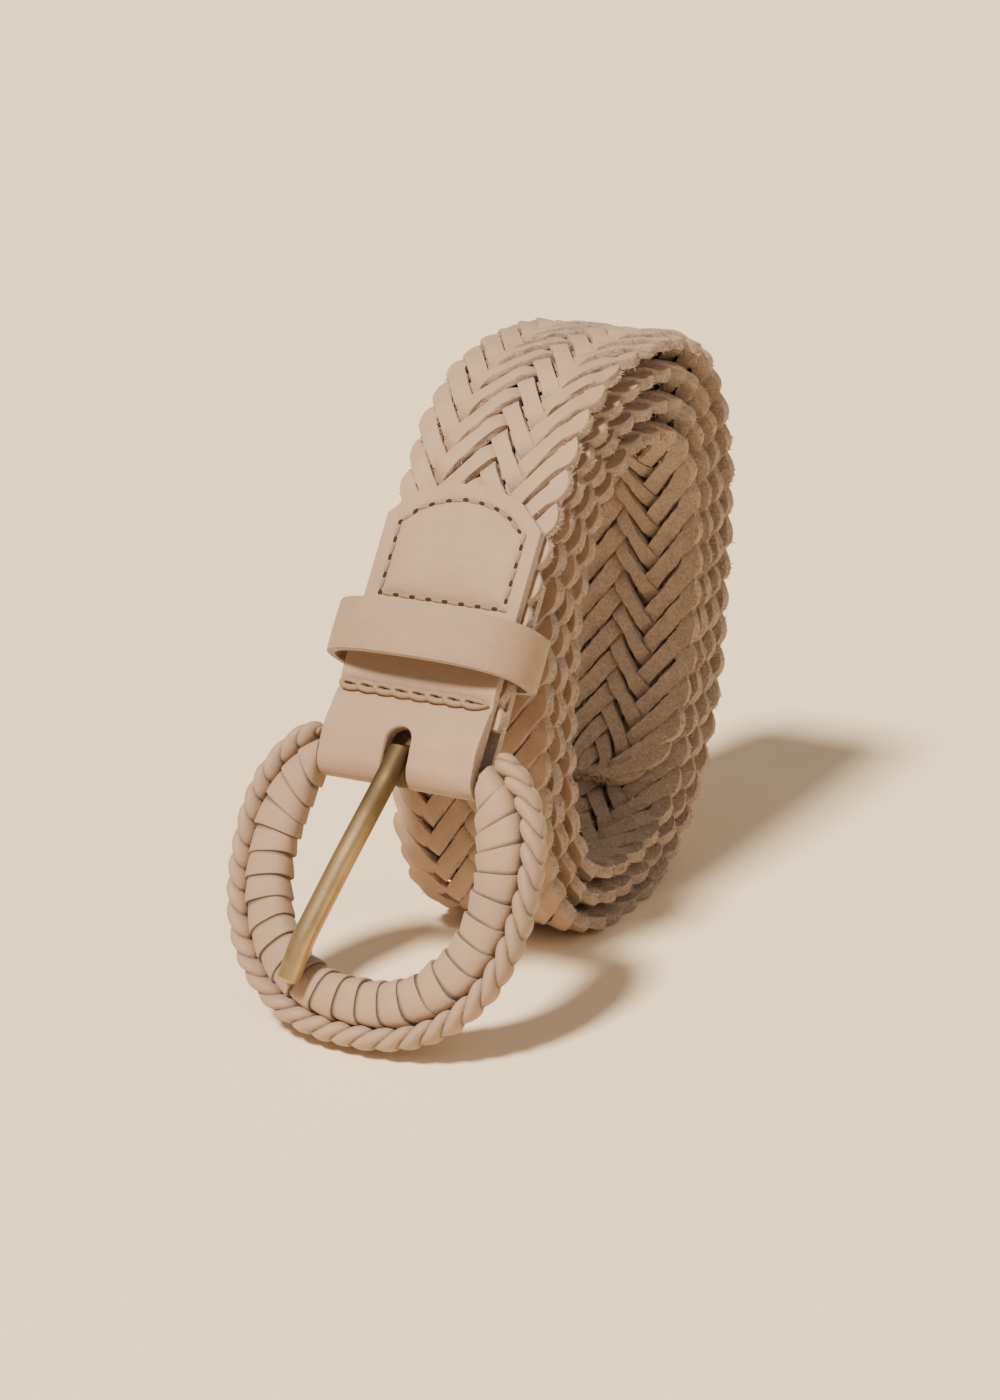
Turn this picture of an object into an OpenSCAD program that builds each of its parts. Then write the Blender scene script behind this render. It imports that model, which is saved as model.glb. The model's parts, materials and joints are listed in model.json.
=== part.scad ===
// Plaited leather belt, rolled up and standing on its outer turn, with a
// lace-wrapped D buckle, a brass prong, a stitched tab and a sliding keeper.
// Millimetres. X runs across the strap, -Y faces the buckle and +Z is up.
// The origin is the middle of the flat that the coil stands on.

/* [Strap] */
// Width of the plaited strap
strap_w = 38; // [30:0.5:46]
// Thickness of the plaited strap
strap_t = 4.4; // [3.6:0.1:4.6]

/* [Coil] */
// Depth of the coil from front to back
coil_depth = 84; // [76:1:102]
// Height of the coil
coil_height = 122; // [108:1:150]
// Squareness of the coil, where 2 is an ellipse
coil_power = 2.5; // [2.1:0.1:3]
// Backward lean of the coil, sideways travel for each unit of height
coil_lean = 0.17; // [0:0.01:0.25]
// Step from one turn to the next at the front and the back
step_side = 5; // [4.9:0.1:6]
// Step from one turn to the next at the top
step_top = 6.2; // [5.2:0.1:7]
// Step from one turn to the next at the bottom
step_bottom = 5; // [4.9:0.1:6]
// How far the weight of the coil presses its base flat
base_flat = 1; // [0.5:0.1:1.6]
// Angle round the coil where the strap leaves for the buckle
leave_angle = 129; // [126:1:132]
// Angle from there to where the rounded tip starts
coil_sweep = 1245; // [1170:5:1260]
// Length of the woven tip
tip_length = 22; // [20:1:26]

/* [Buckle end] */
// Length of strap from the buckle bar to the coil
leg_length = 63.5; // [61:0.5:69]
// Distance from the bar to the end of the plait between the tab's legs
plait_start = 10; // [9.5:0.5:13]
// Width of the leather tab
tab_w = 36; // [28:0.5:37]
// Thickness of the tab leather
tab_t = 2.1; // [1.6:0.1:2.6]
// Height of the tab's apex above the bar
tab_apex = 59; // [55:1:61]
// Height of the tab's shoulders above the bar
tab_shoulder = 51; // [48:1:54]
// Half width of the tab's curved top
tab_top_half = 12; // [8:0.5:13]
// Height of the tab's back leg above the bar
tab_back = 42; // [38:1:46]
// Width of the prong slot in the tab's fold
slot_w = 6.2; // [6:0.1:7]
// Top of the prong slot above the bar
slot_top = 7; // [6.5:0.5:9]

/* [Stitching] */
// Height of the chain stitch row above the bar
chain_row = 14; // [13:0.1:16]
// Height of the tab's lower stitch row above the bar
lower_row = 33.8; // [33:0.1:36]
// Distance of the stitch line from the tab's edge
stitch_inset = 3.5; // [2.5:0.1:4.5]
// Length of one stitch
stitch_length = 2.5; // [1.8:0.1:3]
// Pitch of the stitches
stitch_pitch = 3.9; // [3.2:0.1:4.5]
// Width of the thread
thread_w = 0.8; // [0.5:0.1:1.1]
// Height of the thread above the leather
thread_t = 0.4; // [0.3:0.1:0.6]

/* [Keeper] */
// Height of the keeper band
keeper_h = 11.2; // [8:0.2:11.6]
// Lower edge of the keeper above the bar
keeper_low = 19.6; // [19:0.1:20]
// Thickness of the keeper leather
keeper_t = 1.8; // [1.4:0.1:2.4]
// Gap between the keeper and each side of the strap
keeper_side = 2.2; // [1.5:0.1:3]
// Gap in front of the tab that the strap's tip passes through
keeper_gap = 5.8; // [5.7:0.1:7]
// Gap between the keeper and the tab's back leg
keeper_back = 0.3; // [0.2:0.1:0.6]
// Radius of the keeper's outer corners
keeper_r = 5.4; // [4:0.2:6]

/* [Buckle] */
// Half width of the ring over its plaited rim
ring_half = 35.5; // [34:0.5:40]
// Distance from the bar to the ring's widest line
ring_mid = 19; // [15:0.5:21]
// Height of the ring below its widest line
ring_low = 38; // [36:0.5:44]
// Height of the ring above its widest line
ring_up = 31; // [30:0.5:33]
// Squareness of the ring's outline
ring_power = 2.35; // [2.1:0.05:2.8]
// Width of the lace-wrapped band
band_w = 8.8; // [7.6:0.2:11]
// Width of the plaited rim
rim_w = 4.8; // [3.6:0.2:5.6]
// Thickness of the wrapped band
ring_t = 7.4; // [6.6:0.2:9]
// Thickness of the plaited rim
rim_t = 6.4; // [5.4:0.2:7.2]
// Thickness of the lace over the metal
lace_t = 1.6; // [1.2:0.1:2]
// Radius of the bar
bar_r = 2.1; // [1.8:0.05:2.15]
// Running clearance round the bar
bar_gap = 0.05; // [0.02:0.01:0.1]
// Gap between the tab's edges and the ring
tab_gap = 0.5; // [0.3:0.1:1]

/* [Prong] */
// Radius of the prong
prong_r = 2.4; // [1.8:0.1:2.6]
// Wall of the prong's eye
eye_t = 2.2; // [1.8:0.1:2.6]
// Width of the prong's eye
eye_w = 5; // [4.4:0.1:5.2]
// Sideways reach of the prong's tip
prong_side = 12.5; // [0:0.5:15]
// Distance from the bar to the prong's tip
prong_reach = 46; // [44:0.5:48]
// Length of the bent tip
prong_tip = 8; // [4:0.5:9]
// Gap under the tip where it lies on the ring
prong_gap = 0.1; // [0.05:0.05:0.3]
// Extra arch of the prong over the ring
prong_arch = 1.4; // [0.8:0.1:2.4]

/* [Hidden] */

leather = [0.77, 0.66, 0.58];
leather_edge = [0.70, 0.60, 0.53];
thread = [0.62, 0.52, 0.45];
brass = [0.64, 0.51, 0.30];

arc_fn = 64;
outline_step = 6;
turn_steps = 60;
overrun = 2;
tiny = 0.001;
// The prong's bends stand this little proud of its straight runs
prong_swell = 0.04;

// Share of a turn between the leaving point and the top, back, base and front
u_top = (leave_angle - 90) / 360;
u_back = leave_angle / 360;
u_base = (leave_angle + 90) / 360;
u_front = (leave_angle + 180) / 360;
turns = coil_sweep / 360;

half_y = (coil_depth - strap_t + step_side * (u_back + u_front)) / 2;
half_z = (coil_height - strap_t + base_flat + step_bottom * u_base + step_top * u_top) / 2;
mid_y = coil_lean * (half_z - step_bottom * u_base);
mid_z = half_z + strap_t / 2 - base_flat - step_bottom * u_base;

function semi_y(u) = half_y - step_side * u;
function semi_z(u) = half_z - (step_top + step_bottom) / 2 * u;
function centre_z(u) = mid_z - (step_top - step_bottom) / 2 * u;
function reach(f, u) = pow(
    pow(abs(cos(f)) / semi_y(u), coil_power) + pow(abs(sin(f)) / semi_z(u), coil_power),
    -1 / coil_power);

// The strap's middle line as [y, z], u turns after it leaves the buckle leg
function coil_point(u) = let (f = leave_angle - 360 * u, r = reach(f, u))
    [mid_y + r * cos(f) + coil_lean * r * sin(f), centre_z(u) + r * sin(f)];
function coil_way(u) = let (d = coil_point(u + tiny) - coil_point(u - tiny)) d / norm(d);
function outward(way) = [-way[1], way[0]];
function on_floor(p) = [p[0], max(p[1], 0)];
function outer_point(u) = on_floor(coil_point(u) + outward(coil_way(u)) * strap_t / 2);
function inner_point(u) = coil_point(u) - outward(coil_way(u)) * strap_t / 2;

leg_way = coil_way(0);
bar_at = coil_point(0) - leg_way * leg_length;
tab_lean = atan2(leg_way[0], leg_way[1]);
leg_start = bar_at + leg_way * plait_start;

// The ring swings down until its rim meets the floor, or hangs clear of it
ring_reach = ring_mid + ring_low;
rim_tilt = atan2(rim_t / 2, ring_reach);
ring_lean = rim_tilt + acos(min(1, bar_at[1] / norm([ring_reach, rim_t / 2])));

fold_r = strap_t / 2 + tab_t;
bore_r = bar_r + bar_gap;
window_half = tab_w / 2 + tab_gap;
window_a = ring_half - rim_w - band_w;
window_low = ring_low - rim_w - band_w;
tip_from = turns;
tip_share = tip_length / (2 * PI * semi_z(turns));

module across(width) { rotate([90, 0, 90]) linear_extrude(width, center = true) children(); }
module at_bar(lean) { translate([0, bar_at[0], bar_at[1]]) rotate([-lean, 0, 0]) children(); }
module facing(depth) { rotate([90, 0, 0]) linear_extrude(depth, center = true) children(); }

// A stretch of the coil, from u0 to u1 turns
module coil_stretch(u0, u1, lead = [[], []]) {
    n = max(4, ceil((u1 - u0) * turn_steps));
    us = [for (i = [0:n]) u0 + (u1 - u0) * i / n];
    back = [for (i = [n:-1:0]) inner_point(us[i])];
    across(strap_w) polygon(concat(lead[0], [for (u = us) outer_point(u)], back, lead[1]));
}

module strap_turn_1() {
    side = outward(leg_way) * strap_t / 2;
    color(leather) coil_stretch(0, 1, [[leg_start + side], [leg_start - side]]);
}
module strap_turn_2() { color(leather) coil_stretch(1, 2); }
module strap_turn_3() { color(leather) coil_stretch(2, 3); }
module strap_turn_4() { color(leather) coil_stretch(3, tip_from); }

// The tip is the last stretch of the coil, trimmed to a round end
module strap_tip() {
    p = coil_point(tip_from);
    way = coil_way(tip_from);
    straight = max(tip_length - strap_w / 2, 0.5);
    color(leather) intersection() {
        coil_stretch(tip_from, tip_from + tip_share * 1.3);
        translate([0, p[0], p[1]]) rotate([atan2(way[1], way[0]), 0, 0])
            linear_extrude(2 * tip_length, center = true) {
                translate([-strap_w / 2, 0]) square([strap_w, straight]);
                translate([0, straight]) circle(d = strap_w, $fn = arc_fn);
            }
    }
}

// Outline of the tab's front leg: straight sides, sloping shoulders, curved top
module tab_outline(inset) {
    half = tab_w / 2 - inset;
    top_half = tab_top_half - inset / 2;
    rise = (tab_apex - tab_shoulder) / 3;
    crown = [for (i = [-4:4]) [top_half * i / 4, tab_apex - inset - rise * pow(i / 4, 2)]];
    polygon(concat([[-half, 0], [-half, tab_shoulder - inset / 2]], crown,
        [[half, tab_shoulder - inset / 2], [half, 0]]));
}

module tab() {
    leg_mid = (strap_t + tab_t) / 2;
    color(leather) at_bar(tab_lean) difference() {
        union() {
            translate([0, -leg_mid, 0]) facing(tab_t) tab_outline(0);
            translate([-tab_w / 2, leg_mid - tab_t / 2, 0]) cube([tab_w, tab_t, tab_back]);
            rotate([0, 90, 0]) cylinder(h = tab_w, r = fold_r, center = true, $fn = arc_fn);
        }
        rotate([0, 90, 0]) cylinder(h = tab_w + overrun, r = bore_r, center = true, $fn = arc_fn);
        facing(2 * fold_r + overrun) {
            translate([-slot_w / 2, -fold_r - overrun])
                square([slot_w, slot_top - slot_w / 2 + fold_r + overrun]);
            translate([0, slot_top - slot_w / 2]) circle(d = slot_w, $fn = arc_fn);
        }
    }
}

// Points along a run from p to q, one for each stitch, each with its angle
function run_stitches(p, q) = let (n = max(1, round(norm(q - p) / stitch_pitch)))
    [for (i = [0:n - 1]) [p + (q - p) * (i + 0.5) / n, atan2(q[1] - p[1], q[0] - p[0])]];

module stitch_row(marks, length) {
    for (m = marks, side = [-1, 1])
        translate([m[0][0], side * (fold_r + thread_t / 2), m[0][1]])
            rotate([0, -m[1], 0]) cube([length, thread_t, thread_w], center = true);
}

module tab_stitches() {
    half = tab_w / 2 - stitch_inset;
    top = tab_apex - stitch_inset;
    shoulder = tab_shoulder - stitch_inset / 2;
    top_half = tab_top_half - stitch_inset / 2;
    rise = (tab_apex - tab_shoulder) / 3;
    corners = [[-half, lower_row], [-half, shoulder], [-top_half, top - rise], [0, top - 0.15],
        [top_half, top - rise], [half, shoulder], [half, lower_row], [-half, lower_row]];
    marks = [for (i = [0:len(corners) - 2]) each run_stitches(corners[i], corners[i + 1])];
    color(thread) at_bar(tab_lean) difference() {
        stitch_row(marks, stitch_length);
        translate([-tab_w, 0, tab_back - stitch_length]) cube([2 * tab_w, 2 * fold_r, tab_apex]);
    }
}

module chain_stitches() {
    half = tab_w / 2 - stitch_inset / 2;
    marks = run_stitches([-half, chain_row], [half, chain_row]);
    color(thread) at_bar(tab_lean) stitch_row(marks, stitch_pitch);
}

module round_box(w, d, r) {
    square([w - 2 * r, d], center = true);
    square([w, d - 2 * r], center = true);
    for (x = [-1, 1], y = [-1, 1])
        translate([x * (w / 2 - r), y * (d / 2 - r)]) circle(r = r, $fn = arc_fn);
}

module keeper() {
    w = max(strap_w, tab_w) + 2 * keeper_side;
    d = 2 * fold_r + keeper_gap + keeper_back;
    color(leather) at_bar(tab_lean)
        translate([0, (keeper_back - keeper_gap) / 2, keeper_low])
            linear_extrude(keeper_h) difference() {
                round_box(w + 2 * keeper_t, d + 2 * keeper_t, keeper_r);
                round_box(w, d, keeper_r - keeper_t);
            }
}

// The ring's outline, drawn inside the rim by inset, as [x, height above the bar]
function signed_power(v) = sign(v) * pow(abs(v), 2 / ring_power);
function ring_point(t, inset) = [(ring_half - inset) * signed_power(cos(t)),
    -ring_mid + signed_power(sin(t)) * ((sin(t) > 0 ? ring_up : ring_low) - inset)];
module ring_outline(inset) {
    polygon([for (t = [0:outline_step:360 - outline_step]) ring_point(t, inset)]);
}

// The ring's window, open at the top for the tab, grown by grow
module ring_window(grow) {
    n = 180 / outline_step;
    low = [for (i = [0:n]) let (t = 180 + i * outline_step)
        [(window_a + grow) * signed_power(cos(t)),
        -ring_mid + (window_low + grow) * signed_power(sin(t))]];
    polygon(concat(low, [[window_half + grow, ring_up], [-window_half - grow, ring_up]]));
}

module frame_solid() {
    facing(ring_t - 2 * lace_t) difference() {
        ring_outline(rim_w + lace_t);
        ring_window(lace_t);
    }
    rotate([0, 90, 0])
        cylinder(h = 2 * (window_half + lace_t), r = bar_r, center = true, $fn = arc_fn);
}

module buckle_frame() { color(brass) at_bar(ring_lean) frame_solid(); }

module lace_wrap() {
    color(leather) at_bar(ring_lean) difference() {
        facing(ring_t) difference() {
            ring_outline(rim_w);
            ring_window(0);
        }
        frame_solid();
    }
}

module rim_plait() {
    color(leather) at_bar(ring_lean) facing(rim_t) difference() {
        ring_outline(0);
        ring_outline(rim_w);
        ring_window(0);
    }
}

module rod(p, q) {
    d = q - p;
    translate(p) rotate([0, acos(d[2] / norm(d)), atan2(d[1], d[0])])
        cylinder(h = norm(d), r = prong_r, $fn = arc_fn);
    translate(q) sphere(r = prong_r + prong_swell, $fn = arc_fn);
}

module prong() {
    eye_r = bore_r + eye_t;
    lie = -(ring_t / 2 + prong_gap + prong_r);
    slope = prong_side / prong_reach;
    root = [0, -eye_r + prong_r / 2, prong_r];
    neck = [0, lie, -eye_r - prong_r / 2];
    tip = [-prong_side, lie, -prong_reach];
    knee_reach = prong_reach - prong_tip;
    knee = [-slope * knee_reach, lie - prong_arch, -knee_reach];
    color(brass) at_bar(ring_lean) difference() {
        union() {
            rotate([0, 90, 0]) cylinder(h = eye_w, r = eye_r, center = true, $fn = arc_fn);
            rod(root, neck);
            rod(neck, knee);
            rod(knee, tip);
        }
        rotate([0, 90, 0]) cylinder(h = 2 * eye_w, r = bore_r, center = true, $fn = arc_fn);
    }
}

strap_turn_1();
strap_turn_2();
strap_turn_3();
strap_turn_4();
strap_tip();
tab();
tab_stitches();
chain_stitches();
keeper();
buckle_frame();
lace_wrap();
rim_plait();
prong();
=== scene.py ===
"""Looks of a plaited leather belt, rolled up and standing, built as an add-on and run as a script."""

import json
import math

import bpy
import numpy as np
from mathutils import Matrix, Vector


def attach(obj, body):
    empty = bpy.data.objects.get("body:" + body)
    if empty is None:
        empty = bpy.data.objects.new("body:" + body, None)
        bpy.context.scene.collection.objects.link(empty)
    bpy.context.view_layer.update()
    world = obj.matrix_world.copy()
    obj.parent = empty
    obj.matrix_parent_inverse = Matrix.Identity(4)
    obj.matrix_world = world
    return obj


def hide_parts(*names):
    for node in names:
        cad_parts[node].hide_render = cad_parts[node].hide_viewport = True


bl_info = {
    "name": "Plaited Belt",
    "version": (1, 0, 0),
    "blender": (4, 5, 0),
    "location": "3D View > Sidebar > Belt",
    "description": "Builds a rolled plaited belt with a lace-wrapped buckle",
    "category": "Add Mesh",
}

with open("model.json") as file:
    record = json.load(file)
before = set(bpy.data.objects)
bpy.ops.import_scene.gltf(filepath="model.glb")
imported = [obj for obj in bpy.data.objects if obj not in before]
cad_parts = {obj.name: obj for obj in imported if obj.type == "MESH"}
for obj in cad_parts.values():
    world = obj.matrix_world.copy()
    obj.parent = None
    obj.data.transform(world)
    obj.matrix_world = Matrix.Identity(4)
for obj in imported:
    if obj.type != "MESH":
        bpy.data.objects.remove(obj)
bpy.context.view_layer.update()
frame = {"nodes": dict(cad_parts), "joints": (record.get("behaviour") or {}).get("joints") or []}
JOINTS = {j["name"]: j for j in frame["joints"]}
STRAP_NODES = ("strap_turn_1", "strap_turn_2", "strap_turn_3", "strap_turn_4", "strap_tip")


# ---------------------------------------------------------------- settings

def length(name, default, about, low=0.0, high=1.0):
    """A length property in metres."""
    return bpy.props.FloatProperty(
        name=name, description=about, default=default, min=low, max=high,
        precision=5, subtype="DISTANCE", unit="LENGTH")


def number(name, default, about, low=0.0, high=100.0):
    """A plain number property."""
    return bpy.props.FloatProperty(name=name, description=about, default=default, min=low, max=high)


def tint(name, default, about):
    """A colour property, in linear light."""
    return bpy.props.FloatVectorProperty(
        name=name, description=about, default=default, min=0, max=1, size=3, subtype="COLOR")


class BeltSizes(bpy.types.PropertyGroup):
    """Sizes of the belt, the same as the frame's own."""
    strap_w: length("Strap width", 0.038, "Width of the plaited strap")
    strap_t: length("Strap thickness", 0.0044, "Thickness of the plaited strap")
    coil_depth: length("Coil depth", 0.084, "Depth of the coil from front to back")
    coil_height: length("Coil height", 0.122, "Height of the coil")
    coil_power: number("Coil squareness", 2.5, "Squareness of the coil, where 2 is an ellipse")
    coil_lean: number("Coil lean", 0.17, "Backward lean of the coil")
    step_side: length("Side step", 0.005, "Step between turns at the front and back")
    step_top: length("Top step", 0.0062, "Step between turns at the top")
    step_bottom: length("Bottom step", 0.005, "Step between turns at the bottom")
    base_flat: length("Base flat", 0.001, "How far the base of the coil is pressed flat")
    leave_angle: number("Leaving angle", 129, "Angle where the strap leaves for the buckle", 0, 180)
    coil_sweep: number("Coil sweep", 1245, "Angle from there to where the tip starts", 0, 2000)
    tip_length: length("Tip length", 0.022, "Length of the woven tip")
    leg_length: length("Leg length", 0.0635, "Strap from the bar to the coil")
    plait_start: length("Plait start", 0.010, "Distance from the bar to the plait")
    tab_w: length("Tab width", 0.036, "Width of the leather tab")
    tab_t: length("Tab thickness", 0.0021, "Thickness of the tab leather")
    tab_apex: length("Tab apex", 0.059, "Height of the tab's apex above the bar")
    tab_shoulder: length("Tab shoulder", 0.051, "Height of the tab's shoulders")
    tab_top_half: length("Tab top", 0.012, "Half width of the tab's curved top")
    tab_back: length("Back leg", 0.042, "Height of the tab's back leg")
    slot_w: length("Slot width", 0.0062, "Width of the prong slot")
    slot_top: length("Slot top", 0.007, "Top of the prong slot above the bar")
    chain_row: length("Chain row", 0.014, "Height of the chain stitch row")
    lower_row: length("Lower row", 0.0338, "Height of the lower stitch row")
    stitch_inset: length("Stitch inset", 0.0035, "Stitch line's distance from the edge")
    stitch_pitch: length("Stitch pitch", 0.0039, "Pitch of the stitches")
    stitch_length: length("Stitch length", 0.0034, "Length of one stitch")
    thread_r: length("Thread radius", 0.00040, "Radius of the thread")
    keeper_h: length("Keeper height", 0.0112, "Height of the keeper band")
    keeper_low: length("Keeper low", 0.0196, "Lower edge of the keeper above the bar")
    keeper_t: length("Keeper thickness", 0.0018, "Thickness of the keeper leather")
    keeper_side: length("Keeper side gap", 0.0022, "Gap at each side of the strap")
    keeper_gap: length("Keeper gap", 0.0058, "Gap in front of the tab")
    keeper_back: length("Keeper back gap", 0.0003, "Gap behind the tab")
    ring_half: length("Ring half width", 0.0355, "Half width of the ring over its rim")
    ring_mid: length("Ring middle", 0.019, "Bar to the ring's widest line")
    ring_low: length("Ring low", 0.038, "Ring below its widest line")
    ring_up: length("Ring up", 0.031, "Ring above its widest line")
    ring_power: number("Ring squareness", 2.35, "Squareness of the ring's outline")
    band_w: length("Band width", 0.0088, "Width of the lace-wrapped band")
    rim_w: length("Rim width", 0.0048, "Width of the plaited rim")
    ring_t: length("Ring thickness", 0.0074, "Thickness of the wrapped band")
    rim_t: length("Rim thickness", 0.0064, "Thickness of the plaited rim")
    bar_r: length("Bar radius", 0.0021, "Radius of the bar")
    tab_gap: length("Tab gap", 0.0005, "Gap between the tab and the ring")
    prong_r: length("Prong radius", 0.0024, "Radius of the prong")
    eye_t: length("Eye wall", 0.0022, "Wall of the prong's eye")
    eye_w: length("Eye width", 0.005, "Width of the prong's eye")
    prong_side: length("Prong side", 0.0125, "Sideways reach of the prong's tip")
    prong_reach: length("Prong reach", 0.046, "Distance from the bar to the tip")
    prong_tip: length("Prong tip", 0.008, "Length of the bent tip")
    prong_gap: length("Prong gap", 0.0001, "Gap under the tip")
    prong_arch: length("Prong arch", 0.0014, "Arch of the prong over the ring")
    strand_count: bpy.props.IntProperty(
        name="Strands", description="Number of lacings in the plait", default=13, min=5, max=15)
    strand_w: length("Strand width", 0.00395, "Width of one lacing")
    strand_t: length("Strand thickness", 0.0019, "Thickness of one lacing")
    loop_pitch: length("Loop pitch", 0.0072, "Pitch of the loops along the strap's edge")
    wrap_pitch: length("Wrap pitch", 0.0048, "Pitch of the lace round the ring")


class BeltFinish(bpy.types.PropertyGroup):
    """Colours of the belt."""
    grain: tint("Grain", (0.42, 0.284, 0.188), "Smooth outer face of the leather")
    flesh: tint("Flesh", (0.42, 0.318, 0.245), "Rough inner face and cut edges")
    thread: tint("Thread", (0.33, 0.225, 0.150), "Waxed thread")
    brass: tint("Brass", (0.47, 0.345, 0.18), "Aged brass")
    # Colour of the painted shade and dark reflection on the brass near the bar.
    root_shade: tint("Tarnish", (0.07, 0.045, 0.02), "Darkened brass")
    floor: tint("Floor", (0.97, 0.80, 0.58), "Plain pale floor")


def sizes():
    return bpy.context.scene.belt_sizes


def finish_colours():
    return bpy.context.scene.belt_finish


# ---------------------------------------------------------------- geometry of the belt

def smooth_step(low, high, v):
    x = np.clip((v - low) / (high - low), 0, 1)
    return x * x * (3 - 2 * x)


def signed_power(v, p):
    return np.sign(v) * np.abs(v) ** p


def wander(seed, knots, at):
    """Smooth repeatable noise of about -1 to 1 along a run of knots."""
    values = np.random.default_rng(seed).uniform(-1, 1, knots)
    return np.interp(at, np.arange(knots), values)


class StrapLine:
    """The middle line of the strap in the coil's own plane, by distance along it."""

    def __init__(self, z):
        u_top = (z.leave_angle - 90) / 360
        u_back = z.leave_angle / 360
        u_base = (z.leave_angle + 90) / 360
        u_front = (z.leave_angle + 180) / 360
        self.z = z
        self.half_y = (z.coil_depth - z.strap_t + z.step_side * (u_back + u_front)) / 2
        self.half_z = (z.coil_height - z.strap_t + z.base_flat
                       + z.step_bottom * u_base + z.step_top * u_top) / 2
        self.mid_y = z.coil_lean * (self.half_z - z.step_bottom * u_base)
        self.mid_z = self.half_z + z.strap_t / 2 - z.base_flat - z.step_bottom * u_base
        turns = z.coil_sweep / 360
        spare = z.tip_length * 1.3 / (2 * math.pi * (self.half_z - (z.step_top + z.step_bottom) / 2 * turns))
        coil = self.coil(np.linspace(0, turns + spare, 6000))
        way = coil[1] - coil[0]
        way /= np.linalg.norm(way)
        self.bar = coil[0] - way * z.leg_length
        start = self.bar + way * z.plait_start
        leg = start + np.outer(np.linspace(0, 1, 200, endpoint=False), coil[0] - start)
        points = np.vstack([leg, coil])
        self.s = np.concatenate([[0], np.cumsum(np.linalg.norm(np.diff(points, axis=0), axis=1))])
        self.points = points
        ways = np.gradient(points, self.s, axis=0)
        self.ways = ways / np.linalg.norm(ways, axis=1)[:, None]
        tip_s = np.interp(200 + 6000 * turns / (turns + spare), np.arange(len(self.s)), self.s)
        self.end = tip_s + z.tip_length
        self.tab_lean = math.atan2(way[0], way[1])

    def coil(self, u):
        z = self.z
        f = np.radians(z.leave_angle - 360 * u)
        a = self.half_y - z.step_side * u
        b = self.half_z - (z.step_top + z.step_bottom) / 2 * u
        c, s = np.cos(f), np.sin(f)
        r = ((np.abs(c) / a) ** z.coil_power + (np.abs(s) / b) ** z.coil_power) ** (-1 / z.coil_power)
        return np.stack([self.mid_y + r * c + z.coil_lean * r * s,
                         self.mid_z - (z.step_top - z.step_bottom) / 2 * u + r * s], -1)

    def place(self, s, u, n):
        """Points at distance s along, u across and n out from the middle line."""
        y = np.interp(s, self.s, self.points[:, 0])
        z = np.interp(s, self.s, self.points[:, 1])
        wy = np.interp(s, self.s, self.ways[:, 0])
        wz = np.interp(s, self.s, self.ways[:, 1])
        top = np.maximum(z + wy * n, 0.0001)
        return np.stack([u, y - wz * n, top], -1)


def at_bar(points, lean):
    """From the bar's own axes, with +Z up the leather, to the belt's."""
    bar = JOINTS["buckle_swing"]["pos_m"]
    c, s = math.cos(-lean), math.sin(-lean)
    p = np.asarray(points, float)
    return np.stack([p[..., 0] + bar[0], p[..., 1] * c - p[..., 2] * s + bar[1],
                     p[..., 1] * s + p[..., 2] * c + bar[2]], -1)


def ring_lean(z):
    reach = z.ring_mid + z.ring_low
    bar = JOINTS["buckle_swing"]["pos_m"][2]
    return math.atan2(z.rim_t / 2, reach) + math.acos(min(1, bar / math.hypot(reach, z.rim_t / 2)))


def tab_lean():
    axis = JOINTS["keeper_slide"]["axis"]
    return math.atan2(-axis[1], -axis[2])


# ---------------------------------------------------------------- meshes

def new_piece(name, verts, faces, rough=None, smooth_angle=50, **layers):
    """A mesh object with outward faces and vertex attributes such as raw leather."""
    verts = np.asarray(verts, float)
    mesh = bpy.data.meshes.new(name)
    mesh.from_pydata([tuple(v) for v in verts], [], [tuple(int(i) for i in f) for f in faces])
    mesh.update()
    if signed_volume(mesh) < 0:
        mesh.flip_normals()
    if rough is not None:
        layers["raw"] = rough
    for key, values in layers.items():
        layer = mesh.attributes.new(key, "FLOAT", "POINT")
        layer.data.foreach_set("value", np.asarray(values, np.float32).ravel())
    mesh.shade_smooth()
    mesh.set_sharp_from_angle(angle=math.radians(smooth_angle))
    obj = bpy.data.objects.new(name, mesh)
    bpy.context.scene.collection.objects.link(obj)
    return obj


def signed_volume(mesh):
    mesh.calc_loop_triangles()
    n = len(mesh.loop_triangles)
    tri = np.zeros(n * 3, np.int32)
    mesh.loop_triangles.foreach_get("vertices", tri)
    co = np.zeros(len(mesh.vertices) * 3)
    mesh.vertices.foreach_get("co", co)
    t = co.reshape(-1, 3)[tri.reshape(-1, 3)]
    return float(np.einsum("ij,ij->i", t[:, 0], np.cross(t[:, 1], t[:, 2])).sum())


def loft(rings, closed=False):
    """Vertices and faces of a skin over rings of equal count, capped unless closed."""
    rings = np.asarray(rings, float)
    n, m = rings.shape[:2]
    faces = []
    rows = n if closed else n - 1
    for i in range(rows):
        a, b = i * m, ((i + 1) % n) * m
        for j in range(m):
            k = (j + 1) % m
            faces.append((a + j, a + k, b + k, b + j))
    if not closed:
        faces.append(tuple(range(m - 1, -1, -1)))
        faces.append(tuple((n - 1) * m + j for j in range(m)))
    return rings.reshape(-1, 3), faces


def merge(parts):
    """One vertex and face list from several."""
    verts, faces, at = [], [], 0
    for v, f in parts:
        verts.append(v)
        faces.extend([tuple(i + at for i in face) for face in f])
        at += len(v)
    return np.vstack(verts), faces


def finish_piece(obj, body, slot, material, *nodes):
    obj.data.materials.clear()
    obj.data.materials.append(material)
    if nodes:
        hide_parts(*nodes)
    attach(obj, body)
    return obj


# ---------------------------------------------------------------- materials

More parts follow.
